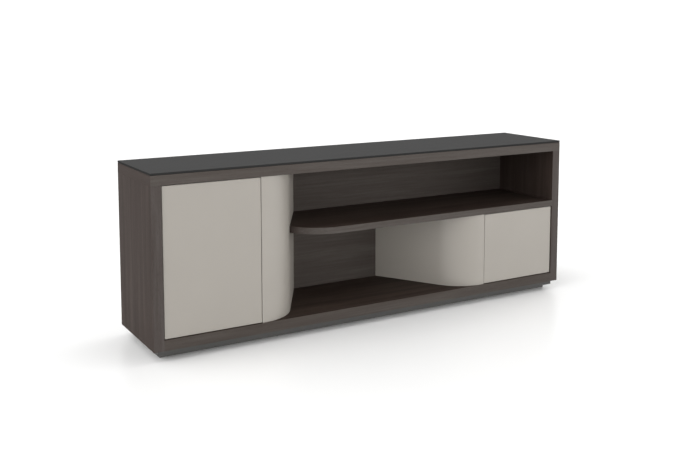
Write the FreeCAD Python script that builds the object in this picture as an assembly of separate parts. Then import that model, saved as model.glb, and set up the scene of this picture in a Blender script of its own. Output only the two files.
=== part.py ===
import FreeCAD, Part
import math
import os

# Office credenza: a low wooden case with a glass top, a full-height curved cupboard at the left,
# a low curved cupboard under the shelf at the right, and open niches between them.
# Units are millimetres. X runs from left to right, Y from front to back, Z up.
# The origin is on the floor, under the middle of the case.

# Overall plan
width = 2400.0
depth = 480.0

# Heights, from the floor up
glide_height = 2.0
plinth_height = 23.0
base_board_thickness = 25.0
bottom_thickness = 50.0
lower_niche_height = 388.0
shelf_thickness = 33.0
upper_niche_height = 281.0
top_thickness = 47.0
pad_height = 1.0
glass_thickness = 10.0

# Base
base_board_inset = 24.0
plinth_front_inset = 64.0
plinth_rear_inset = 46.0
plinth_end_inset = 46.0
plinth_rail_thickness = 18.0
cross_rail_count = 3
glide_radius = 7.0
glide_nail_radius = 1.2
glide_nail_length = 12.0
glides_per_rail = 5
glide_end_distance = 40.0

# Case panels
side_thickness = 50.0
back_panel_thickness = 18.0
back_recess = 4.0
groove_depth = 8.0
wood_ease = 0.8
glass_chamfer = 1.0
pad_radius = 8.0
pad_edge_distance = 60.0
pads_per_row = 6

# Curved cupboard walls
wall_thickness = 18.0
wall_angle = 30.0
wall_radius = 230.0
left_corner = 674.0
right_corner = 684.0
wall_ease = 1.5

# Main shelf
shelf_corner_radius = 235.0
shelf_corner_start = 958.0

# Doors
door_thickness = 20.0
door_recess = 5.0
door_gap = 3.0
left_door_width = 480.0
right_door_width = 476.0
left_seam = 3.0
right_seam = 2.0
door_ease = 1.5

# Pivot hinges
pivot_from_edge = 22.0
pivot_from_face = 9.0
pivot_pin_radius = 4.0
pivot_plate_length = 56.0
pivot_plate_width = 12.0
pivot_plate_thickness = 3.0
pivot_plate_tail = 12.0
pivot_bush_radius = 6.5
pivot_bush_depth = 9.0
pivot_bush_floor = 2.0
pivot_end_play = 0.5
pivot_running_fit = 0.05

# Door stops, latches and buffers
post_stop_width = 15.0
post_width = 26.0
post_depth = 40.0
push_travel = 4.0
latch_width = 14.0
latch_height = 16.0
latch_length = 78.0
latch_setback = 4.0
latch_drop = 70.0
latch_ease = 1.0
latch_screw_head_radius = 1.6
latch_screw_head_height = 1.0
latch_screw_shank_radius = 0.9
latch_screw_length = 22.0
plunger_radius = 4.0
plunger_length = 52.0
plunger_fit = 0.2
plunger_stroke_room = 8.0
striker_radius = 7.0
striker_thickness = 1.5
buffer_radius = 4.0
buffer_thickness = 1.5
buffer_end_distance = 40.0

# Adjustable shelf in the left cupboard
inner_shelf_thickness = 18.0
inner_shelf_level = 350.0
inner_shelf_setback = 45.0
inner_shelf_fit = 1.5
shelf_pin_radius = 2.5
shelf_pin_hole_depth = 10.0
shelf_pin_reach = 10.0
shelf_pin_head_radius = 3.5
shelf_pin_from_front = 60.0
shelf_pin_from_back = 60.0
pin_hole_pitch = 32.0
pin_holes_each_way = 3

# Fasteners
joint_fit = 0.1
dowel_radius = 4.0
dowel_length = 40.0
wall_dowel_length = 30.0
shelf_dowel_in_wall = 12.0
cam_radius = 7.5
cam_height = 16.0
cam_from_end = 34.0
cam_bolt_radius = 3.5
cam_bolt_bore_radius = 4.0
cam_bolt_thread = 12.0
cam_bolt_level = 11.0
cam_from_front = 60.0
cam_from_back = 70.0
screw_head_radius = 4.0
screw_head_height = 3.0
screw_shank_radius = 2.0
top_screw_length = 85.0
top_screw_head_radius = 5.0
top_screw_head_height = 4.0
top_screw_shank_radius = 2.5
base_screw_length = 42.0
base_screw_from_edge = 100.0
plinth_screw_length = 40.0
back_screw_length = 40.0
plate_screw_length = 18.0
plate_screw_head_radius = 3.0
plate_screw_head_height = 2.0
plate_screw_shank_radius = 1.5
tool_margin = 1.0

# Levels worked out from the heights above
z_plinth = glide_height + plinth_height
z_case = z_plinth + base_board_thickness
z_floor = z_case + bottom_thickness
z_shelf = z_floor + lower_niche_height
z_shelf_top = z_shelf + shelf_thickness
z_ceiling = z_shelf_top + upper_niche_height
z_wood_top = z_ceiling + top_thickness
z_glass = z_wood_top + pad_height

# Planes worked out from the plan sizes
x_left = -width / 2
x_right = width / 2
x_inner_left = x_left + side_thickness
x_inner_right = x_right - side_thickness
y_front = -depth / 2
y_rear = depth / 2
y_back_outer = y_rear - back_recess
y_back_inner = y_back_outer - back_panel_thickness
y_face = y_front + door_recess
y_door_back = y_face + door_thickness
y_post = y_door_back + push_travel
turn = 90.0 - wall_angle

Vec = FreeCAD.Vector
UP = Vec(0, 0, 1)
DOWN = Vec(0, 0, -1)
TO_FRONT = Vec(0, -1, 0)
TO_BACK = Vec(0, 1, 0)


# ---------- general helpers ----------

def box(x0, x1, y0, y1, z0, z1):
    """A box between two corners, given as ranges along X, Y and Z."""
    low = Vec(min(x0, x1), min(y0, y1), min(z0, z1))
    return Part.makeBox(abs(x1 - x0), abs(y1 - y0), abs(z1 - z0), low)


def eased(solid, radius):
    """The same solid with every edge rounded."""
    return solid.makeFillet(radius, solid.Edges)


def rod(radius, start, direction, length):
    """A round bar from a start point along a direction."""
    return Part.makeCylinder(radius, length, start, direction)


def prism(wire, z0, z1):
    """A flat outline raised from z0 to z1."""
    solid = Part.Face(wire).extrude(Vec(0, 0, z1 - z0))
    solid.translate(Vec(0, 0, z0))
    return solid


def cut_all(solid, tools):
    """The solid without the space of the tools."""
    return solid.cut(Part.makeCompound(tools)) if tools else solid


def group(solids):
    """Several identical pieces kept as separate solids."""
    return Part.makeCompound(solids)


def spread(first, last, count):
    """Evenly spaced values from first to last."""
    return [first + (last - first) * i / (count - 1) for i in range(count)]


def screw(head, direction, length, sizes, grow=0.0):
    """A countersunk screw from the centre of its head, or its hole when grow is a clearance."""
    head_radius, head_height, shank_radius = sizes
    start = head - direction * grow
    cone = Part.makeCone(head_radius + grow, shank_radius + grow, head_height + grow, start, direction)
    shank = rod(shank_radius + grow, head, direction, length + grow)
    return cone.fuse(shank)


WOOD_SCREW = (screw_head_radius, screw_head_height, screw_shank_radius)
TOP_SCREW = (top_screw_head_radius, top_screw_head_height, top_screw_shank_radius)
PLATE_SCREW = (plate_screw_head_radius, plate_screw_head_height, plate_screw_shank_radius)
LATCH_SCREW = (latch_screw_head_radius, latch_screw_head_height, latch_screw_shank_radius)


# ---------- plan shape of a curved cupboard ----------
# A cupboard is described by distances from its own end of the case: its sign is 1 at the left end,
# where distances run towards +X, and -1 at the right end.

class Cupboard:
    """The plan of one curved cupboard, with its door, seam, curve and slanted wall."""

    def __init__(self, sign, corner, door_width, seam, z_top):
        self.sign = sign
        self.end = -sign * width / 2
        self.centre_u = corner - wall_radius * math.tan(math.radians(turn / 2))
        self.centre_y = y_face + wall_radius
        self.door_outer = side_thickness + door_gap
        self.door_inner = self.door_outer + door_width
        self.wall_start = self.door_inner + seam
        self.pivot_u = self.door_outer + pivot_from_edge
        self.pivot_y = y_face + pivot_from_face
        self.latch_u = self.door_inner - post_stop_width - latch_width / 2
        self.z_top = z_top

    def x(self, u):
        """The X of a distance from this cupboard's end of the case."""
        return self.end + self.sign * u

    def on_curve(self, inset, angle):
        """The distance and Y of a point on the curve, inset from the outer face."""
        radius = wall_radius - inset
        swing = math.radians(angle)
        return self.centre_u + radius * math.sin(swing), self.centre_y - radius * math.cos(swing)

    def on_slant(self, inset, y):
        """The distance of a point of the slanted wall at Y, inset from its outer face."""
        u, curve_y = self.on_curve(inset, turn)
        return u + (y - curve_y) / math.tan(math.radians(turn))

    def region(self, inset, start, y_end, z0, z1):
        """The space inside the wall's face, from a start distance to y_end."""
        u0, y0 = self.on_curve(inset, 0)
        um, ym = self.on_curve(inset, turn / 2)
        u1, y1 = self.on_curve(inset, turn)
        corners = [Vec(self.x(u), y, 0) for u, y in (
            (start, y0), (u0, y0), (um, ym), (u1, y1), (self.on_slant(inset, y_end), y_end), (start, y_end))]
        edges = [
            Part.LineSegment(corners[0], corners[1]).toShape(),
            Part.Arc(corners[1], corners[2], corners[3]).toShape(),
            Part.LineSegment(corners[3], corners[4]).toShape(),
            Part.LineSegment(corners[4], corners[5]).toShape(),
            Part.LineSegment(corners[5], corners[0]).toShape(),
        ]
        return prism(Part.Wire(edges), z0, z1)

    def outward(self):
        """The unit normal of the slanted wall's outer face."""
        lean = math.radians(turn)
        return Vec(self.sign * math.sin(lean), -math.cos(lean), 0)


left = Cupboard(1, left_corner, left_door_width, left_seam, z_ceiling)
right = Cupboard(-1, right_corner, right_door_width, right_seam, z_shelf)
cupboards = {"left": left, "right": right}


# ---------- where the fasteners go ----------

cam_ys = spread(y_front + cam_from_front, y_back_inner - cam_from_back, 3)
dowel_ys = [(cam_ys[i] + cam_ys[i + 1]) / 2 for i in range(2)]
case_ends = ((-1, x_inner_left), (1, x_inner_right))
side_middles = (x_left + side_thickness / 2, x_right - side_thickness / 2)


def case_dowels(grow):
    """Dowels from the sides across into the bottom panel, and up into the top panel."""
    half = dowel_length / 2 + grow
    z = z_case + bottom_thickness / 2
    across = [rod(dowel_radius + grow, Vec(x - half, y, z), Vec(1, 0, 0), 2 * half)
              for _, x in case_ends for y in dowel_ys]
    upright = [rod(dowel_radius + grow, Vec(x, y, z_ceiling - half), UP, 2 * half)
               for x in side_middles for y in dowel_ys]
    return across + upright


def shelf_end_dowels(grow):
    """Dowels between the main shelf and the right side."""
    half = dowel_length / 2 + grow
    z = z_shelf + shelf_thickness / 2
    return [rod(dowel_radius + grow, Vec(x_inner_right - half, y, z), Vec(1, 0, 0), 2 * half) for y in cam_ys]


def shelf_wall_dowels(grow):
    """Dowels between the main shelf and the slanted wall of the left cupboard."""
    z = z_shelf + shelf_thickness / 2
    first_y = left.on_curve(0, turn)[1]
    out = left.outward()
    found = []
    for share in (0.3, 0.75):
        y = first_y + (y_back_inner - first_y) * share
        face = Vec(left.x(left.on_slant(0, y)), y, z)
        start = face - out * (shelf_dowel_in_wall + grow)
        found.append(rod(dowel_radius + grow, start, out, dowel_length + 2 * grow))
    return found


def wall_dowel_points(unit):
    """Plan points on the middle line of a curved wall."""
    middle = wall_thickness / 2
    u, y = unit.on_curve(middle, turn / 3)
    points = [(unit.x(u), y)]
    first_y = unit.on_curve(middle, turn)[1]
    for share in (0.2, 0.8):
        y = first_y + (y_back_inner - first_y) * share
        points.append((unit.x(unit.on_slant(middle, y)), y))
    return points


def wall_dowels(grow):
    """Upright dowels at the foot and head of both curved walls."""
    half = wall_dowel_length / 2 + grow
    return [rod(dowel_radius + grow, Vec(x, y, z - half), UP, 2 * half)
            for unit in cupboards.values() for z in (z_floor, unit.z_top)
            for x, y in wall_dowel_points(unit)]


def cams(grow):
    """Round cam housings, let into the hidden face of the bottom panel."""
    return [rod(cam_radius + grow, Vec(x - sign * cam_from_end, y, z_case), UP, cam_height + grow)
            for sign, x in case_ends for y in cam_ys]


def cam_bolts(radius, grow):
    """Bolts from the sides into the cams."""
    z = z_case + cam_bolt_level
    return [rod(radius, Vec(x + sign * (cam_bolt_thread + grow), y, z), Vec(-sign, 0, 0),
                cam_bolt_thread + cam_from_end + grow)
            for sign, x in case_ends for y in cam_ys]


def screws_at(points, direction, length, grow, sizes=WOOD_SCREW):
    """Screws of one kind with their heads at the given points."""
    return [screw(point, direction, length, sizes, grow) for point in points]


def top_screws(grow):
    """Long screws down through the top panel into the ends of the sides, hidden by the glass."""
    points = [Vec(x, y, z_wood_top) for x in side_middles for y in cam_ys]
    return screws_at(points, DOWN, top_screw_length, grow, TOP_SCREW)


base_screw_points = [
    Vec(x_left + width * share, y, z_plinth)
    for share in (0.08, 0.375, 0.625, 0.92)
    for y in (y_front + plinth_front_inset + base_screw_from_edge,
              y_rear - plinth_rear_inset - base_screw_from_edge)]

plinth_front_y = y_front + plinth_front_inset
plinth_rear_y = y_rear - plinth_rear_inset
plinth_left_x = x_left + plinth_end_inset
plinth_right_x = x_right - plinth_end_inset
rail_middle = plinth_rail_thickness / 2
cross_rail_xs = spread(plinth_left_x, plinth_right_x, cross_rail_count + 2)[1:-1]
across_xs = [plinth_left_x + rail_middle] + cross_rail_xs + [plinth_right_x - rail_middle]
across_ys = spread(plinth_front_y + plinth_rail_thickness, plinth_rear_y - plinth_rail_thickness, 4)[1:-1]
along_xs = [(across_xs[i] + across_xs[i + 1]) / 2 for i in range(len(across_xs) - 1)]
plinth_screw_points = [Vec(x, y, z_case) for x in across_xs for y in across_ys]
plinth_screw_points += [
    Vec(x, y, z_case) for x in along_xs
    for y in (plinth_front_y + rail_middle, plinth_rear_y - rail_middle)]

shelf_back_start = left.x(left.on_slant(0, y_back_inner))
shelf_back_length = x_inner_right - shelf_back_start
back_screw_points = [
    Vec(shelf_back_start + shelf_back_length * share, y_back_outer, z_shelf + shelf_thickness / 2)
    for share in (0.1, 0.37, 0.63, 0.9)]


# ---------- pivot hinges ----------

def pivot_plate(unit, grow, z0, z1):
    """The flat plate of a pivot hinge, with its long end away from the case's side."""
    u0 = unit.pivot_u - pivot_plate_tail - grow
    u1 = unit.pivot_u - pivot_plate_tail + pivot_plate_length + grow
    half = pivot_plate_width / 2 + grow
    return box(unit.x(u0), unit.x(u1), unit.pivot_y - half, unit.pivot_y + half, z0, z1)


def pivot_screw_points(unit, z):
    """Heads of the two screws of a pivot plate, on its open face."""
    first = unit.pivot_u + pivot_plate_length * 0.3
    second = unit.pivot_u + pivot_plate_length * 0.62
    return [Vec(unit.x(u), unit.pivot_y, z) for u in (first, second)]


def pivot_screws(unit, z, into_wood, grow):
    """The two screws of a pivot plate, or their holes."""
    return screws_at(pivot_screw_points(unit, z), into_wood, plate_screw_length, grow, PLATE_SCREW)


def pivot_ends(unit):
    """For a door's foot and head: the case's face, the door's face, the way into the door, the end play."""
    return (
        (z_floor, z_floor + door_gap, UP, 0.0),
        (unit.z_top, unit.z_top - door_gap, DOWN, pivot_end_play),
    )


def door_pivot(unit, case_z, door_z, into_door, play):
    """The door's plate and pin as one piece. The foot's pin stands on the floor of its bush."""
    plate = pivot_plate(unit, 0.0, door_z, door_z + into_door.z * pivot_plate_thickness)
    plate = plate.cut(group(pivot_screws(unit, door_z, into_door, joint_fit)))
    reach = door_gap + pivot_bush_depth - play
    start = Vec(unit.x(unit.pivot_u), unit.pivot_y, door_z + into_door.z * pivot_plate_thickness)
    pin = rod(pivot_pin_radius, start, into_door * -1, reach + pivot_plate_thickness)
    return plate.fuse(pin).removeSplitter()


def case_pivot(unit, case_z, door_z, into_door, play):
    """The case's plate with the blind bush that holds the pin, as one piece."""
    into_case = into_door * -1
    plate = pivot_plate(unit, 0.0, case_z, case_z + into_case.z * pivot_plate_thickness)
    centre = Vec(unit.x(unit.pivot_u), unit.pivot_y, case_z)
    bush = rod(pivot_bush_radius, centre, into_case, pivot_bush_depth + pivot_bush_floor)
    bore = rod(pivot_pin_radius + pivot_running_fit, centre, into_case, pivot_bush_depth)
    heads = pivot_screws(unit, case_z, into_case, joint_fit)
    return plate.fuse(bush).removeSplitter().cut(bore).cut(group(heads))


def case_pivot_pockets(unit, case_z, into_door):
    """The room that a case plate, its bush and its screws need in a panel."""
    into_case = into_door * -1
    plate = pivot_plate(unit, joint_fit, case_z - into_case.z * tool_margin,
                        case_z + into_case.z * (pivot_plate_thickness + joint_fit))
    centre = Vec(unit.x(unit.pivot_u), unit.pivot_y, case_z)
    bush_depth = pivot_bush_depth + pivot_bush_floor
    bush = rod(pivot_bush_radius + joint_fit, centre, into_case, bush_depth + joint_fit)
    heads = pivot_screws(unit, case_z, into_case, joint_fit)
    return [plate, bush] + heads


def door_pivot_pockets(unit, door_z, into_door):
    """The room that a door plate and its screws need in the door's edge."""
    plate = pivot_plate(unit, joint_fit, door_z - into_door.z * tool_margin,
                        door_z + into_door.z * (pivot_plate_thickness + joint_fit))
    heads = pivot_screws(unit, door_z, into_door, joint_fit)
    return [plate] + heads


# ---------- doors, posts and latches ----------

def door(unit):
    """A flat lacquered door with room for its pivot plates."""
    panel = box(unit.x(unit.door_outer), unit.x(unit.door_inner), y_face, y_door_back,
                z_floor + door_gap, unit.z_top - door_gap)
    panel = eased(panel, door_ease)
    pockets = []
    for _, door_z, into_door, _ in pivot_ends(unit):
        pockets += door_pivot_pockets(unit, door_z, into_door)
    return cut_all(panel, pockets + [latch_screw_shape(unit, joint_fit)])


def curved_wall(unit):
    """The fixed wall: a strip beside the door, the curve and the slanted stretch to the back."""
    outer = unit.region(0.0, unit.wall_start, y_back_inner, z_floor, unit.z_top)
    room = unit.region(wall_thickness, unit.wall_start - tool_margin, y_back_inner + tool_margin,
                       z_floor - tool_margin, unit.z_top + tool_margin)
    wall = outer.cut(room)
    seam_x = unit.x(unit.wall_start)
    seam_edges = [e for e in wall.Edges
                  if all(abs(v.X - seam_x) < 0.01 and abs(v.Y - y_face) < 0.01 for v in e.Vertexes)]
    return wall.makeFillet(wall_ease, seam_edges)


def post(unit):
    """The upright behind the seam. Its step stops the door, and the wall is glued to its face."""
    stop_u = unit.door_inner - post_stop_width
    body = box(unit.x(stop_u), unit.x(unit.wall_start + post_width), y_face, y_post + post_depth,
               z_floor, unit.z_top)
    behind_door = box(unit.x(stop_u - tool_margin), unit.x(unit.wall_start), y_face - tool_margin, y_post,
                      z_floor - tool_margin, unit.z_top + tool_margin)
    room = unit.region(wall_thickness + joint_fit, stop_u - tool_margin, y_rear,
                       z_floor - tool_margin, unit.z_top + tool_margin)
    return body.common(room).cut(behind_door)


def latch_level(unit):
    """The height of a door's latch."""
    return unit.z_top - latch_drop


def striker(unit):
    """The steel disc on the back of the door that the latch holds."""
    centre = Vec(unit.x(unit.latch_u), y_door_back, latch_level(unit))
    return rod(striker_radius, centre, TO_BACK, striker_thickness)


def latch_screw_shape(unit, grow):
    """The stud that holds the striker in the door."""
    start = Vec(unit.x(unit.latch_u), y_door_back, latch_level(unit))
    return rod(screw_shank_radius + grow, start, TO_FRONT, door_thickness / 2 + grow)


def plunger(unit):
    """The latch's push rod, with its tip against the striker."""
    tip = Vec(unit.x(unit.latch_u), y_door_back + striker_thickness, latch_level(unit))
    return rod(plunger_radius, tip, TO_BACK, plunger_length)


def latch_body(unit):
    """The latch's housing, screwed to the side of the post."""
    z = latch_level(unit)
    u = unit.latch_u
    y0 = y_post + latch_setback
    body = eased(box(unit.x(u - latch_width / 2), unit.x(u + latch_width / 2), y0, y0 + latch_length,
                     z - latch_height / 2, z + latch_height / 2), latch_ease)
    tip_y = y_door_back + striker_thickness
    bore_length = tip_y + plunger_length + plunger_stroke_room - y0
    bore = rod(plunger_radius + plunger_fit, Vec(unit.x(u), y0, z), TO_BACK, bore_length)
    return cut_all(body, [bore] + latch_screws(unit, joint_fit))


def latch_screws(unit, grow):
    """Screws across the housing into the post, above and below the rod."""
    into_post = Vec(unit.sign, 0, 0)
    y = y_post + latch_setback + post_depth / 3
    rise = (latch_height / 2 + plunger_radius + plunger_fit) / 2
    x = unit.x(unit.latch_u - latch_width / 2)
    points = [Vec(x, y, latch_level(unit) + side * rise) for side in (-1, 1)]
    return screws_at(points, into_post, latch_screw_length, grow, LATCH_SCREW)


def buffers(unit):
    """Clear pads on the post that the door closes against."""
    u = unit.door_inner - post_stop_width / 2
    levels = (z_floor + buffer_end_distance, unit.z_top - buffer_end_distance / 2)
    return [rod(buffer_radius, Vec(unit.x(u), y_post, z), TO_FRONT, buffer_thickness) for z in levels]


# ---------- adjustable shelf of the left cupboard ----------

inner_shelf_z = z_floor + inner_shelf_level


def inner_shelf():
    """A board that follows the cupboard's inside and rests on four pins."""
    front_y = y_post + inner_shelf_setback
    room = left.region(wall_thickness + inner_shelf_fit, side_thickness + inner_shelf_fit,
                       y_back_inner - inner_shelf_fit, inner_shelf_z, inner_shelf_z + inner_shelf_thickness)
    behind = box(x_left, x_right, front_y, y_rear, inner_shelf_z - tool_margin,
                 inner_shelf_z + inner_shelf_thickness + tool_margin)
    return room.common(behind)


def shelf_pin_places():
    """Hole mouths and inward directions of the four pins, two in the side and two in the slanted wall."""
    front_y = y_post + inner_shelf_setback + shelf_pin_from_front
    back_y = y_back_inner - shelf_pin_from_back
    places = [(Vec(x_inner_left, y, 0), Vec(1, 0, 0)) for y in (front_y, back_y)]
    for y in (max(front_y, left.on_curve(wall_thickness, turn)[1] + shelf_pin_head_radius * 2), back_y):
        places.append((Vec(left.x(left.on_slant(wall_thickness, y)), y, 0), left.outward() * -1))
    return places


def shelf_pins():
    """Metal pins, each with a plain end in its hole and a thicker head under the shelf."""
    found = []
    for mouth, inward in shelf_pin_places():
        base = Vec(mouth.x, mouth.y, inner_shelf_z - shelf_pin_head_radius)
        peg = rod(shelf_pin_radius, base - inward * (shelf_pin_hole_depth - joint_fit), inward,
                  shelf_pin_hole_depth)
        head = rod(shelf_pin_head_radius, base, inward, shelf_pin_reach)
        found.append(peg.fuse(head))
    return found


def pin_holes(which):
    """The rows of holes that the pins fit, for the side (which = 0) or the slanted wall (which = 1)."""
    holes = []
    depth = shelf_pin_hole_depth + tool_margin
    for mouth, inward in shelf_pin_places()[2 * which:2 * which + 2]:
        for step in range(-pin_holes_each_way, pin_holes_each_way + 1):
            z = inner_shelf_z - shelf_pin_head_radius + step * pin_hole_pitch
            start = Vec(mouth.x, mouth.y, z) + inward * tool_margin
            holes.append(rod(shelf_pin_radius + joint_fit, start, inward * -1, depth))
    return holes


# ---------- case ----------

def back_groove():
    """The groove that runs round the inside of the case for the back panel."""
    return box(x_inner_left - groove_depth, x_inner_right + groove_depth, y_back_inner - joint_fit,
               y_back_outer + joint_fit, z_floor - groove_depth, z_ceiling + groove_depth)


def side_panel(x0, x1, holes):
    """A side of the case, from the base board to the top panel."""
    panel = eased(box(x0, x1, y_front, y_rear, z_case, z_ceiling), wood_ease)
    bolts = cam_bolts(cam_bolt_radius + joint_fit, joint_fit)
    fittings = case_dowels(joint_fit) + bolts + top_screws(joint_fit)
    return cut_all(panel, [back_groove()] + fittings + holes)


def bottom_panel(holes):
    """The bottom of the case, between the sides."""
    panel = eased(box(x_inner_left, x_inner_right, y_front, y_rear, z_case, z_floor), wood_ease)
    fittings = case_dowels(joint_fit) + cams(joint_fit) + cam_bolts(cam_bolt_bore_radius, 0.0)
    return cut_all(panel, [back_groove()] + fittings + wall_dowels(joint_fit) + holes)


def top_panel(holes):
    """The top of the case, lying on the sides."""
    panel = eased(box(x_left, x_right, y_front, y_rear, z_ceiling, z_wood_top), wood_ease)
    fittings = case_dowels(joint_fit) + top_screws(joint_fit)
    return cut_all(panel, [back_groove()] + fittings + wall_dowels(joint_fit) + holes)


def main_shelf():
    """The shelf from the left cupboard's wall to the right side, with a rounded front corner."""
    corner_x = x_left + shelf_corner_start
    arc_x = corner_x - shelf_corner_radius
    arc_y = y_front + shelf_corner_radius
    slant = math.sqrt(0.5) * shelf_corner_radius
    start = Vec(corner_x, y_front, 0)
    middle = Vec(corner_x - slant, arc_y - slant, 0)
    stop = Vec(arc_x, arc_y, 0)
    corners = [stop, Vec(arc_x, y_back_inner, 0), Vec(x_inner_right, y_back_inner, 0),
               Vec(x_inner_right, y_front, 0), start]
    edges = [Part.Arc(start, middle, stop).toShape()]
    edges += [Part.LineSegment(corners[i], corners[i + 1]).toShape() for i in range(4)]
    board = prism(Part.Wire(edges), z_shelf, z_shelf_top)
    front_edges = [e for e in board.Edges
                   if max(v.Y for v in e.Vertexes) < arc_y + 0.01
                   and abs(e.Vertexes[0].Z - e.Vertexes[-1].Z) < 0.01
                   and e.BoundBox.XMin < x_inner_right - tool_margin]
    board = board.makeFillet(wood_ease, front_edges)
    beyond_wall = left.region(-joint_fit, side_thickness, y_rear,
                              z_shelf - tool_margin, z_shelf_top + tool_margin)
    holes = shelf_end_dowels(joint_fit) + shelf_wall_dowels(joint_fit) + wall_dowels(joint_fit)
    holes += screws_at(back_screw_points, TO_FRONT, back_screw_length, joint_fit)
    holes += case_pivot_pockets(right, z_shelf, DOWN)
    return cut_all(board.cut(beyond_wall), holes)


def back_panel():
    """The back, let into the groove all round."""
    lap = groove_depth - joint_fit
    panel = box(x_inner_left - lap, x_inner_right + lap, y_back_inner, y_back_outer,
                z_floor - lap, z_ceiling + lap)
    return cut_all(panel, screws_at(back_screw_points, TO_FRONT, back_screw_length, joint_fit))


def glass_top():
    """The sheet of glass that covers the whole top, on small clear pads."""
    sheet = box(x_left, x_right, y_front, y_rear, z_glass, z_glass + glass_thickness)
    return sheet.makeChamfer(glass_chamfer, sheet.Edges)


def glass_pads():
    """Clear pads between the wood and the glass."""
    xs = spread(x_left + pad_edge_distance, x_right - pad_edge_distance, pads_per_row)
    ys = (y_front + pad_edge_distance / 2, y_rear - pad_edge_distance / 2)
    return [rod(pad_radius, Vec(x, y, z_wood_top), UP, pad_height) for x in xs for y in ys]


# ---------- base ----------

def base_board():
    """The board under the case, a little smaller than it."""
    board = box(x_left + base_board_inset, x_right - base_board_inset, y_front + base_board_inset,
                y_rear - base_board_inset, z_plinth, z_case)
    holes = screws_at(base_screw_points, UP, base_screw_length, joint_fit)
    holes += screws_at(plinth_screw_points, DOWN, plinth_screw_length, joint_fit)
    return cut_all(eased(board, wood_ease), holes)


def rail(x0, x1, y0, y1):
    """One rail of the plinth, with its screw and nail holes."""
    solid = box(x0, x1, y0, y1, glide_height, z_plinth)
    holes = screws_at(plinth_screw_points, DOWN, plinth_screw_length, joint_fit)
    return cut_all(solid, holes + glides(joint_fit, False))


def glides(grow, with_disc=True):
    """Plastic glides under the long rails: a disc and the nail that holds it."""
    xs = spread(plinth_left_x + glide_end_distance, plinth_right_x - glide_end_distance, glides_per_rail)
    ys = (plinth_front_y + rail_middle, plinth_rear_y - rail_middle)
    found = []
    for x in xs:
        for y in ys:
            nail = rod(glide_nail_radius + grow, Vec(x, y, glide_height), UP, glide_nail_length + grow)
            disc = rod(glide_radius, Vec(x, y, 0), UP, glide_height)
            found.append(nail.fuse(disc) if with_disc else nail)
    return found


# ---------- all the pieces ----------

parts = {}

parts["plinth_front_rail"] = rail(plinth_left_x, plinth_right_x, plinth_front_y,
                                  plinth_front_y + plinth_rail_thickness)
parts["plinth_rear_rail"] = rail(plinth_left_x, plinth_right_x, plinth_rear_y - plinth_rail_thickness,
                                 plinth_rear_y)
inner_rail_ys = (plinth_front_y + plinth_rail_thickness, plinth_rear_y - plinth_rail_thickness)
parts["plinth_left_rail"] = rail(plinth_left_x, plinth_left_x + plinth_rail_thickness, *inner_rail_ys)
parts["plinth_right_rail"] = rail(plinth_right_x - plinth_rail_thickness, plinth_right_x, *inner_rail_ys)
parts["plinth_cross_rails"] = group([rail(x - rail_middle, x + rail_middle, *inner_rail_ys)
                                     for x in cross_rail_xs])
parts["plinth_glides"] = group(glides(0.0))
parts["base_board"] = base_board()

left_pockets = [case_pivot_pockets(left, case_z, way) for case_z, _, way, _ in pivot_ends(left)]
right_foot_pockets = case_pivot_pockets(right, z_floor, UP)
base_screw_holes = screws_at(base_screw_points, UP, base_screw_length, joint_fit)
parts["bottom_panel"] = bottom_panel(left_pockets[0] + right_foot_pockets + base_screw_holes)
parts["top_panel"] = top_panel(left_pockets[1])
parts["left_side_panel"] = side_panel(x_left, x_inner_left, pin_holes(0))
parts["right_side_panel"] = side_panel(x_inner_right, x_right, shelf_end_dowels(joint_fit))
parts["back_panel"] = back_panel()
parts["main_shelf"] = main_shelf()
parts["glass_top"] = glass_top()
parts["glass_pads"] = group(glass_pads())

wall_holes = wall_dowels(joint_fit)
left_wall_holes = wall_holes + shelf_wall_dowels(joint_fit) + pin_holes(1)
parts["left_curved_wall"] = cut_all(curved_wall(left), left_wall_holes)
parts["right_curved_wall"] = cut_all(curved_wall(right), wall_holes)

for side, unit in cupboards.items():
    door_ends = pivot_ends(unit)
    parts[side + "_door"] = door(unit)
    parts[side + "_door_pivots"] = group([door_pivot(unit, *end) for end in door_ends])
    parts[side + "_case_pivots"] = group([case_pivot(unit, *end) for end in door_ends])
    door_screws = []
    case_screws = []
    for case_z, door_z, way, _ in door_ends:
        door_screws += pivot_screws(unit, door_z, way, 0.0)
        case_screws += pivot_screws(unit, case_z, way * -1, 0.0)
    parts[side + "_door_pivot_screws"] = group(door_screws)
    parts[side + "_case_pivot_screws"] = group(case_screws)
    parts[side + "_door_striker"] = striker(unit).fuse(latch_screw_shape(unit, 0.0))
    parts[side + "_post"] = cut_all(post(unit), latch_screws(unit, joint_fit))
    parts[side + "_latch_body"] = latch_body(unit)
    parts[side + "_latch_plunger"] = plunger(unit)
    parts[side + "_latch_screws"] = group(latch_screws(unit, 0.0))
    parts[side + "_door_buffers"] = group(buffers(unit))

parts["inner_shelf"] = inner_shelf()
parts["inner_shelf_pins"] = group(shelf_pins())

parts["case_dowels"] = group(case_dowels(0.0))
parts["shelf_dowels"] = group(shelf_end_dowels(0.0) + shelf_wall_dowels(0.0))
parts["wall_dowels"] = group(wall_dowels(0.0))
parts["cam_locks"] = cut_all(group(cams(0.0)), cam_bolts(cam_bolt_bore_radius, 0.0))
parts["cam_bolts"] = group(cam_bolts(cam_bolt_radius, 0.0))
parts["top_screws"] = group(top_screws(0.0))
parts["base_screws"] = group(screws_at(base_screw_points, UP, base_screw_length, 0.0))
parts["plinth_screws"] = group(screws_at(plinth_screw_points, DOWN, plinth_screw_length, 0.0))
parts["back_screws"] = group(screws_at(back_screw_points, TO_FRONT, back_screw_length, 0.0))

os.makedirs("parts", exist_ok=True)
for name, shape in parts.items():
    shape.exportStep(os.path.join("parts", name + ".step"))
    print(name, "solids", len(shape.Solids), "valid", shape.isValid())
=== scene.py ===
import math

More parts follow.
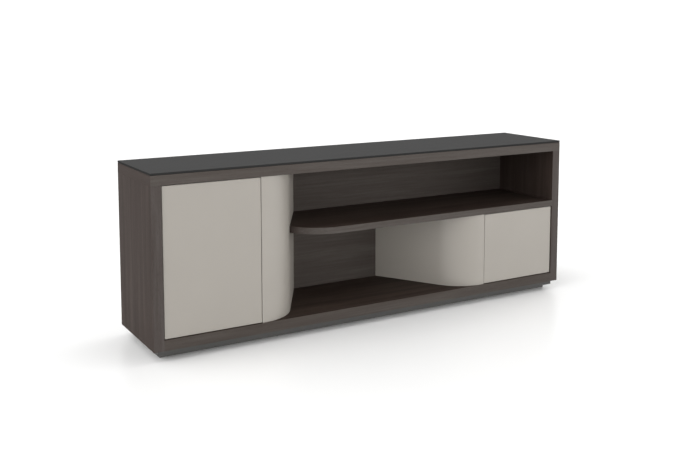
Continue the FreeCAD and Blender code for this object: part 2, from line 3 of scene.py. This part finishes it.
import bpy
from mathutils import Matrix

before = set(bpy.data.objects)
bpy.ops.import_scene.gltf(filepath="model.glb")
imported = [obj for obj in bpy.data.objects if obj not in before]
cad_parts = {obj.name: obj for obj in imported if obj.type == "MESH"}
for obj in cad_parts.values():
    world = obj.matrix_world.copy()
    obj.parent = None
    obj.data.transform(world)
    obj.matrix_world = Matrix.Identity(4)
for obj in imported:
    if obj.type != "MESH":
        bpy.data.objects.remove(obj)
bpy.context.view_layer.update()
scene = bpy.context.scene


# ---------- node graphs ----------

# The sockets of a Mix node's two values and of its result, by data type.
MIX_SOCKETS = {"VECTOR": (4, 5, 1), "RGBA": (6, 7, 2)}
# Most of a noise's values lie in this range.
NOISE_RANGE = (0.3, 0.7)


class Nodes:
    """A node tree, with short calls for the kinds used here."""

    def __init__(self, tree):
        self.tree = tree
        self.tree.nodes.clear()

    def node(self, kind, *values, **settings):
        """A new node with these settings, and with values for its first sockets."""
        made = self.tree.nodes.new(kind)
        for key, value in settings.items():
            setattr(made, key, value)
        for socket, value in zip(made.inputs, values):
            self.feed(socket, value)
        return made

    def feed(self, socket, value):
        """Links an output to a socket, or sets the socket's own value."""
        if isinstance(value, bpy.types.NodeSocket):
            self.tree.links.new(value, socket)
        else:
            socket.default_value = value

    def feed_named(self, node, **values):
        """Feeds sockets by name, with an underscore for each space."""
        for name, value in values.items():
            self.feed(node.inputs[name.replace("_", " ")], value)

    def math(self, operation, *values):
        return self.node("ShaderNodeMath", *values, operation=operation).outputs[0]

    def vector(self, operation, *values):
        made = self.node("ShaderNodeVectorMath", *values, operation=operation)
        return made.outputs["Value" if operation == "DOT_PRODUCT" else "Vector"]

    def split(self, vector):
        """A vector's X, Y and Z."""
        return self.node("ShaderNodeSeparateXYZ", vector).outputs

    def join(self, *values):
        return self.node("ShaderNodeCombineXYZ", *values).outputs["Vector"]

    def mix(self, data_type, share, first, second, **settings):
        """From the first to the second value by a share, or the first with the second put on it."""
        first_socket, second_socket, result = MIX_SOCKETS[data_type]
        made = self.node("ShaderNodeMix", share, data_type=data_type, **settings)
        self.feed(made.inputs[first_socket], first)
        self.feed(made.inputs[second_socket], second)
        return made.outputs[result]

    def noise(self, coords, scale=1.0, detail=2.0, roughness=0.5, distortion=0.0, stretch=None):
        """Noise at these coordinates, which a stretch multiplies axis by axis."""
        if stretch:
            coords = self.vector("MULTIPLY", coords, stretch)
        made = self.node("ShaderNodeTexNoise")
        self.feed_named(made, Vector=coords, Scale=scale, Detail=detail, Roughness=roughness,
                        Distortion=distortion)
        return made.outputs["Fac"]

    def remap(self, value, low, high, to_low=0.0, to_high=1.0, shape="LINEAR"):
        made = self.node("ShaderNodeMapRange", interpolation_type=shape)
        self.feed_named(made, Value=value, From_Min=low, From_Max=high,
                        To_Min=to_low, To_Max=to_high)
        return made.outputs["Result"]

    def smooth(self, value, low, high, to_low=0.0, to_high=1.0):
        return self.remap(value, low, high, to_low, to_high, "SMOOTHSTEP")

    def spread(self, noise, low, high):
        """A noise turned into values from low to high."""
        return self.remap(noise, *NOISE_RANGE, low, high)

    def around(self, noise, middle, reach):
        """A noise turned into values about a middle."""
        return self.spread(noise, middle - reach, middle + reach)

    def ramp(self, value, *stops):
        made = self.node("ShaderNodeValToRGB", value)
        elements = made.color_ramp.elements
        while len(elements) < len(stops):
            elements.new(0.5)
        for element, (place, colour) in zip(elements, stops):
            element.position = place
            element.color = rgb(*colour)
        return made.outputs["Color"]

    def tint(self, colour, noise, amount):
        """The colour made darker and lighter by a noise, by a share of its value."""
        made = self.node("ShaderNodeHueSaturation")
        value = self.remap(noise, 0.25, 0.75, 1.0 - amount, 1.0 + amount)
        self.feed_named(made, Color=colour, Value=value)
        return made.outputs["Color"]


class Graph(Nodes):
    """A material with one shader."""

    def __init__(self, name):
        self.material = bpy.data.materials.new(name)
        self.material.use_nodes = True
        super().__init__(self.material.node_tree)
        self.shader = self.node("ShaderNodeBsdfPrincipled")
        self.node("ShaderNodeOutputMaterial", self.shader.outputs["BSDF"])
        coords = self.node("ShaderNodeTexCoord")
        self.place = coords.outputs["Object"]
        self.normal = coords.outputs["Normal"]

    def bump(self, height, strength, distance):
        made = self.node("ShaderNodeBump")
        self.feed_named(made, Strength=strength, Distance=distance, Height=height)
        self.feed(self.shader.inputs["Normal"], made.outputs["Normal"])

    def finish(self, **values):
        self.feed_named(self.shader, **values)
        return self.material


def rgb(*values):
    """A colour with its alpha."""
    return (*values, 1.0)


# ---------- materials ----------

TAUPE = (0.2606, 0.2415, 0.2152)
GLASS_COLOUR = (0.0584, 0.0582, 0.0578)
GLASS_EDGE_SHARE = 0.42
GLASS_ROUGHNESS = 0.48
GLASS_SPECULAR = 0.0006
WOOD_ROUGHNESS = 0.72
WOOD_ROUGHNESS_REACH = 0.07
WOOD_SPECULAR = 0.15

# The veneer's colours from its darkest streaks to its lightest, and its pores.
VENEER = ((0.24, (0.0150, 0.0088, 0.0065)),
          (0.37, (0.0235, 0.0158, 0.0124)),
          (0.50, (0.0379, 0.0291, 0.0243)),
          (0.64, (0.0600, 0.0490, 0.0425)),
          (0.77, (0.0830, 0.0700, 0.0620)))
PORE_COLOUR = (0.011, 0.007, 0.005)
PORE_DEPTH = 0.55
PORE_RANGE = (0.58, 0.70)
# Painted light and shade on the veneer: how its colour changes on faces that look up, to the front
# or back, and to a side.
UP_PAINTED_SHADE = (0.868, 0.736, 0.670)
FRONT_PAINTED_LIGHT = (1.629, 1.821, 1.945)
SIDE_PAINTED_SHADE = (0.783, 0.698, 0.683)
# Painted light on the fronts of single boards that differ from the rest.
UPRIGHT_FRONT_PAINTED_LIGHT = (1.480, 1.604, 1.756)
BOTTOM_FRONT_PAINTED_LIGHT = (1.418, 1.536, 1.600)
BACK_PAINTED_LIGHT = (1.343, 1.441, 1.503)
SHELF_FRONT_PAINTED_LIGHT = (1.577, 1.764, 1.883)
# How strong the figure is, how much it gains on faces that look up, and the most that it has
# on a face to the front or back, and on any other in shares of its strength.
FIGURE = 0.7
UP_FIGURE = 1.2
EDGE_FIGURE = 0.5
MOST_FIGURE = 2.0
# The layers of the figure: scale along the grain and across it, detail and roughness.
SWAY = (1.3, 4.0, 2.0, 0.5)
BROAD = (0.8, 20.0, 3.0, 0.6)
STREAKS = (2.6, 95.0, 4.0, 0.62)
FIBRES = (9.0, 820.0, 3.0, 0.6)
PORES = (46.0, 2300.0, 1.0, 0.5)
# How much each layer counts in the colour, and how far the grain sways aside, in metres.
BROAD_SHARE, STREAK_SHARE, FIBRE_SHARE = 0.38, 0.45, 0.17
SWAY_REACH = 0.035
# A front's strip of veneer lies aside from that of the faces by whole steps: the size of a step,
# and how many a normal along Y makes before they are rounded.
STRIP_STEP = 0.37
STRIP_STEPS = 1.7
# How much a normal has to point along an axis before a face counts as looking that way.
FLAT = (0.6, 0.9)
FRONTAL = (0.3, 0.7)
BOARD_END = 0.7
# The grain's direction, and the order of axes that turns it to the depth on a board's ends.
GRAIN = {"X": ((1, 0, 0), "YXZ"), "Z": ((0, 0, 1), "XZY")}


def wood(name, axis, place, front_painted_light=FRONT_PAINTED_LIGHT, figure=FIGURE):
    """Dark stained veneer, its grain along an axis. Every board has its own part of the sheet."""
    g = Graph(name)
    along, end_order = GRAIN[axis]
    facing = g.split(g.normal)

    def layer(coords, slow, fast, detail, roughness):
        """Noise that is drawn out along the grain."""
        stretch = tuple(slow if a else fast for a in along)
        return g.noise(coords, detail=detail, roughness=roughness, stretch=stretch)

    # Front edges carry their own strip of veneer, so their grain isn't that of the faces.
    strip = g.math("ROUND", g.vector("DOT_PRODUCT", g.normal, (0.0, STRIP_STEPS, 0.0)))
    offset = g.math("MULTIPLY", strip, STRIP_STEP)
    # The strip on a board's end runs across it, so there the grain turns to lie along the depth.
    point = g.split(g.place)
    turned = g.join(*(point[source] for source in end_order))
    at_end = g.math("GREATER_THAN", g.math("ABSOLUTE", facing[axis]), BOARD_END)
    base = g.mix("VECTOR", at_end, g.place, turned)
    base = g.vector("ADD", g.vector("ADD", base, g.join(offset, offset, offset)), place)
    sway = g.math("MULTIPLY", g.math("SUBTRACT", layer(base, *SWAY), 0.5), SWAY_REACH)
    grain = g.vector("ADD", base, g.join(*(0.0 if a else sway for a in along)))

    layers = (BROAD, STREAKS, FIBRES, PORES)
    broad, streaks, fibres, pores = (layer(grain, *kind) for kind in layers)
    pore = g.remap(pores, *PORE_RANGE)
    mixed = g.math("MULTIPLY", broad, BROAD_SHARE)
    mixed = g.math("ADD", mixed, g.math("MULTIPLY", streaks, STREAK_SHARE))
    mixed = g.math("ADD", mixed, g.math("MULTIPLY", fibres, FIBRE_SHARE))
    upward = g.smooth(facing["Z"], *FLAT)
    frontal = g.smooth(g.math("ABSOLUTE", facing["Y"]), *FRONTAL)
    sideways = g.smooth(g.math("ABSOLUTE", facing["X"]), *FLAT)
    # Faces that lie flat show more figure, and fronts less.
    most = MOST_FIGURE * figure
    contrast = g.math("MULTIPLY_ADD", upward, figure * UP_FIGURE, figure)
    limit = g.math("MULTIPLY_ADD", frontal, EDGE_FIGURE - most, most)
    contrast = g.math("MINIMUM", contrast, limit)
    mixed = g.math("MULTIPLY_ADD", g.math("SUBTRACT", mixed, 0.5), contrast, 0.5)
    colour = g.ramp(mixed, *VENEER)
    colour = g.mix("RGBA", g.math("MULTIPLY", pore, PORE_DEPTH * figure), colour, rgb(*PORE_COLOUR))
    # Painted shade makes faces that look up or to a side darker and redder, and painted light makes
    # the fronts lighter.
    for share, tint in ((upward, UP_PAINTED_SHADE), (frontal, front_painted_light), (sideways, SIDE_PAINTED_SHADE)):
        colour = g.mix("RGBA", share, colour, rgb(*tint), blend_type="MULTIPLY")

    relief = g.math("SUBTRACT", g.math("MULTIPLY", fibres, 0.5), pore)
    g.bump(relief, strength=0.28, distance=0.00025)
    uneven = g.math("ADD", streaks, g.math("MULTIPLY", pore, 0.2))
    rough = g.remap(uneven, 0.3, 0.9, WOOD_ROUGHNESS - WOOD_ROUGHNESS_REACH,
                    WOOD_ROUGHNESS + WOOD_ROUGHNESS_REACH)
    return g.finish(Base_Color=colour, Roughness=rough, IOR=1.5, Specular_IOR_Level=WOOD_SPECULAR)


def lacquer(name, place):
    """Satin lacquer: an even colour, a faint orange peel and slow changes of gloss."""
    g = Graph(name)
    base = g.vector("ADD", g.place, place)
    cloud = g.noise(base, scale=3.0, detail=3.0)
    speck = g.noise(base, scale=1400.0)
    peel = g.noise(base, scale=330.0, roughness=0.45)
    gloss = g.noise(base, scale=9.0, detail=3.0)
    colour = g.tint(g.tint(rgb(*TAUPE), cloud, 0.02), speck, 0.012)
    g.bump(g.math("ADD", peel, g.math("MULTIPLY", speck, 0.15)), strength=0.06, distance=0.0004)
    return g.finish(Base_Color=colour, Roughness=g.spread(gloss, 0.34, 0.43), IOR=1.5)


def back_painted_glass(name):
    """A glass sheet over dark paint: a deep even colour, with faint wipe marks in its gloss."""
    g = Graph(name)
    wipes = g.noise(g.place, detail=4.0, roughness=0.55, distortion=0.6, stretch=(2.2, 9.0, 9.0))
    dust = g.noise(g.place, scale=900.0, detail=1.0)
    waves = g.noise(g.place, scale=1.6, detail=1.0)
    # The edges look into the dark body of the sheet.
    edge = rgb(*(c * GLASS_EDGE_SHARE for c in GLASS_COLOUR))
    upward = g.smooth(g.split(g.normal)["Z"], 0.3, 0.95)
    colour = g.tint(g.mix("RGBA", upward, edge, rgb(*GLASS_COLOUR)), wipes, 0.02)
    wiped = g.spread(wipes, GLASS_ROUGHNESS, GLASS_ROUGHNESS + 0.03)
    rough = g.math("ADD", wiped, g.remap(dust, 0.6, 0.8, 0.0, 0.05))
    g.bump(waves, strength=0.02, distance=0.002)
    return g.finish(Base_Color=colour, Roughness=rough, IOR=1.5, Specular_IOR_Level=GLASS_SPECULAR)


def paint(name, colour):
    """Matte sprayed paint with a fine tooth and faint scuffs."""
    g = Graph(name)
    tooth = g.noise(g.place, scale=700.0, detail=3.0, roughness=0.6)
    scuff = g.noise(g.place, detail=4.0, roughness=0.6, stretch=(3.0, 3.0, 40.0))
    toned = g.tint(g.tint(rgb(*colour), scuff, 0.10), tooth, 0.06)
    g.bump(tooth, strength=0.15, distance=0.0002)
    return g.finish(Base_Color=toned, Roughness=g.around(tooth, 0.6, 0.06), IOR=1.5)


def metal(name, colour, roughness, brush):
    """Metal with fine marks, drawn out along Z. The brush is their scale."""
    g = Graph(name)
    marks = g.noise(g.place, detail=3.0, roughness=0.6, stretch=(brush, brush, brush / 12.0))
    blots = g.noise(g.place, scale=120.0)
    toned = g.tint(g.tint(rgb(*colour), marks, 0.08), blots, 0.05)
    g.bump(marks, strength=0.10, distance=0.0001)
    return g.finish(Base_Color=toned, Metallic=1.0, Roughness=g.around(marks, roughness, 0.07))


def plastic(name, colour):
    """Moulded plastic with a fine spark texture."""
    g = Graph(name)
    spark = g.noise(g.place, scale=1100.0, roughness=0.6)
    toned = g.tint(rgb(*colour), g.noise(g.place, scale=60.0), 0.06)
    g.bump(spark, strength=0.2, distance=0.00015)
    return g.finish(Base_Color=toned, Roughness=g.around(spark, 0.5, 0.05), IOR=1.47)


def clear_pad(name):
    """Soft clear plastic with a slight haze."""
    g = Graph(name)
    haze = g.noise(g.place, scale=400.0)
    colour = g.tint(rgb(0.82, 0.83, 0.82), haze, 0.03)
    return g.finish(Base_Color=colour, Roughness=g.spread(haze, 0.2, 0.32), IOR=1.45,
                    Transmission_Weight=0.7)


def raw_beech(name):
    """Turned beech with fine flecks."""
    g = Graph(name)
    fleck = g.noise(g.place, detail=4.0, roughness=0.65, stretch=(160.0, 160.0, 160.0))
    colour = g.ramp(fleck, (0.3, (0.40, 0.26, 0.15)), (0.7, (0.58, 0.42, 0.27)))
    g.bump(fleck, strength=0.2, distance=0.0002)
    return g.finish(Base_Color=colour, Roughness=g.spread(fleck, 0.62, 0.75))


steel = metal("satin_steel", (0.56, 0.56, 0.57), 0.32, 900.0)
black_steel = metal("black_steel", (0.050, 0.049, 0.048), 0.45, 900.0)
zinc = metal("cast_zinc", (0.46, 0.46, 0.48), 0.48, 300.0)
black_plastic = plastic("black_plastic", (0.012, 0.012, 0.013))
grey_plastic = plastic("grey_plastic", (0.10, 0.10, 0.10))
clear = clear_pad("clear_pads")
beech = raw_beech("beech")
base_paint = paint("base_paint", (0.0366, 0.0360, 0.0336))
# The rails have the base's paint made lighter: painted light against the shade that falls under the
# base board.
painted_light_rail_paint = paint("painted_light_rail_paint", (0.056, 0.055, 0.051))

# The materials of single nodes. A board's numbers are the place of its leaf in the sheet.
LOOKS = {
    "top_panel": wood("veneer_top", "X", (2.0, 4.3, 5.1)),
    "bottom_panel": wood("veneer_bottom", "X", (3.1, 1.3, 0.4), BOTTOM_FRONT_PAINTED_LIGHT),
    "main_shelf": wood("veneer_shelf", "X", (9.7, 2.3, 2.2), SHELF_FRONT_PAINTED_LIGHT),
    "back_panel": wood("veneer_back", "X", (9.2, 5.3, 3.0), BACK_PAINTED_LIGHT, figure=0.5),
    "left_side_panel": wood("veneer_left", "Z", (1.2, 7.1, 2.0), UPRIGHT_FRONT_PAINTED_LIGHT, figure=1.1),
    "right_side_panel": wood("veneer_right", "Z", (4.2, 3.4, 6.0), UPRIGHT_FRONT_PAINTED_LIGHT),
    "glass_top": back_painted_glass("dark_glass"),
    "left_door": lacquer("lacquer_left_door", (0.0, 0.0, 0.0)),
    "right_door": lacquer("lacquer_right_door", (5.0, 1.0, 2.0)),
    "left_curved_wall": lacquer("lacquer_left_wall", (2.0, 4.0, 1.0)),
    "right_curved_wall": lacquer("lacquer_right_wall", (7.0, 2.0, 3.0)),
    "left_post": lacquer("lacquer_left_post", (1.0, 6.0, 4.0)),
    "right_post": lacquer("lacquer_right_post", (3.0, 5.0, 7.0)),
    "inner_shelf": lacquer("lacquer_inner_shelf", (8.0, 3.0, 5.0)),
    "glass_pads": clear,
    "back_screws": black_steel,
    "cam_locks": zinc,
    "plinth_glides": grey_plastic,
    "base_board": base_paint,
}
# The materials of the other nodes, by a part of the name. The rest are satin steel.
KINDS = (("dowels", beech), ("buffers", clear), ("latch_body", black_plastic),
         ("latch_plunger", black_plastic), ("pivot", black_steel), ("rail", painted_light_rail_paint))

for name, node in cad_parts.items():
    kind = next((material for part, material in KINDS if part in name), steel)
    node.data.materials.clear()
    node.data.materials.append(LOOKS.get(name, kind))


# ---------- floor, light and camera ----------

FLOOR_REACH = 60.0
FLOOR_COLOUR = (0.90, 0.90, 0.895)
# Brightness of the white sweep near the floor, and the sines of elevation where it ends.
SWEEP = 1.25
SWEEP_END = (0.07, 0.11)
# The studio's lights: where each stands in plan, how narrow it is, and its brightness at four
# heights.
LIGHTS = (
    ((0.0, -1.0), 2.0, (6.05, 0.63, 0.34, 0.38)),
    ((1.0, 0.0), 2.0, (1.21, 1.57, 1.54, 1.72)),
    ((0.0, 1.0), 2.0, (1.02, 1.05, 0.91, 0.48)),
    ((-1.0, 0.0), 2.0, (3.25, 3.04, 3.88, 1.76)),
    ((0.766, -0.643), 8.0, (15.44, 0.10, 0.10, 0.00)),
    ((-0.766, -0.643), 8.0, (2.06, 0.19, 0.00, 0.00)),
)
# The sines of elevation between which one height turns into the next.
STEPS = ((0.13, 0.20), (0.28, 0.42), (0.50, 0.70))
# The camera's place in metres, its lens in millimetres, and its angles in degrees.
CAMERA_PLACE = (-2.4946, -4.1332, 1.4831)
CAMERA_LENS = 47.743
CAMERA_SENSOR = 36.0
CAMERA_SHIFT = -0.152
CAMERA_DOWN = 5.966
CAMERA_HEADING = 30.68
CAMERA_REACH = 200.0

corners = [(x * FLOOR_REACH, y * FLOOR_REACH, 0.0) for x, y in ((-1, -1), (1, -1), (1, 1), (-1, 1))]
mesh = bpy.data.meshes.new("floor")
mesh.from_pydata(corners, [], [(0, 1, 2, 3)])
floor = bpy.data.objects.new("floor", mesh)
scene.collection.objects.link(floor)
g = Graph("floor_white")
speckle = g.noise(g.place, scale=4.0, detail=3.0)
floor_rough = g.spread(speckle, 0.30, 0.36)
mesh.materials.append(g.finish(Base_Color=rgb(*FLOOR_COLOUR), Roughness=floor_rough, IOR=1.4))

world = bpy.data.worlds.new("studio")
scene.world = world
world.use_nodes = True
w = Nodes(world.node_tree)
direction = w.node("ShaderNodeTexCoord").outputs["Generated"]
height = w.split(direction)["Z"]
above = w.smooth(height, *SWEEP_END)
steps = [w.smooth(height, *step) for step in STEPS]
# The length of the direction's shadow on the floor, never quite zero.
level_squared = w.math("SUBTRACT", 1.0, w.math("MULTIPLY", height, height))
level = w.math("SQRT", w.math("MAXIMUM", level_squared, 1e-6))
light = w.smooth(height, *SWEEP_END, SWEEP, 0.0)
for (x, y), narrowness, brightness in LIGHTS:
    toward = w.math("MAXIMUM", w.vector("DOT_PRODUCT", direction, (x, y, 0.0)), 0.0)
    share = w.math("POWER", w.math("DIVIDE", toward, level), narrowness)
    glow = brightness[0]
    for step, higher in zip(steps, brightness[1:]):
        glow = w.remap(step, 0.0, 1.0, glow, higher)
    light = w.math("ADD", light, w.math("MULTIPLY", share, w.math("MULTIPLY", above, glow)))
background = w.node("ShaderNodeBackground")
w.feed_named(background, Color=rgb(1.0, 1.0, 1.0), Strength=light)
w.node("ShaderNodeOutputWorld", background.outputs["Background"])

scene.view_settings.view_transform = "Standard"
scene.view_settings.look = "None"

camera_data = bpy.data.cameras.new("camera")
camera_data.sensor_width = CAMERA_SENSOR
camera_data.lens = CAMERA_LENS
camera_data.shift_y = CAMERA_SHIFT
camera_data.clip_end = CAMERA_REACH
camera = bpy.data.objects.new("camera", camera_data)
camera.location = CAMERA_PLACE
camera.rotation_euler = (math.radians(90.0 - CAMERA_DOWN), 0.0, math.radians(-CAMERA_HEADING))
scene.collection.objects.link(camera)
scene.camera = camera
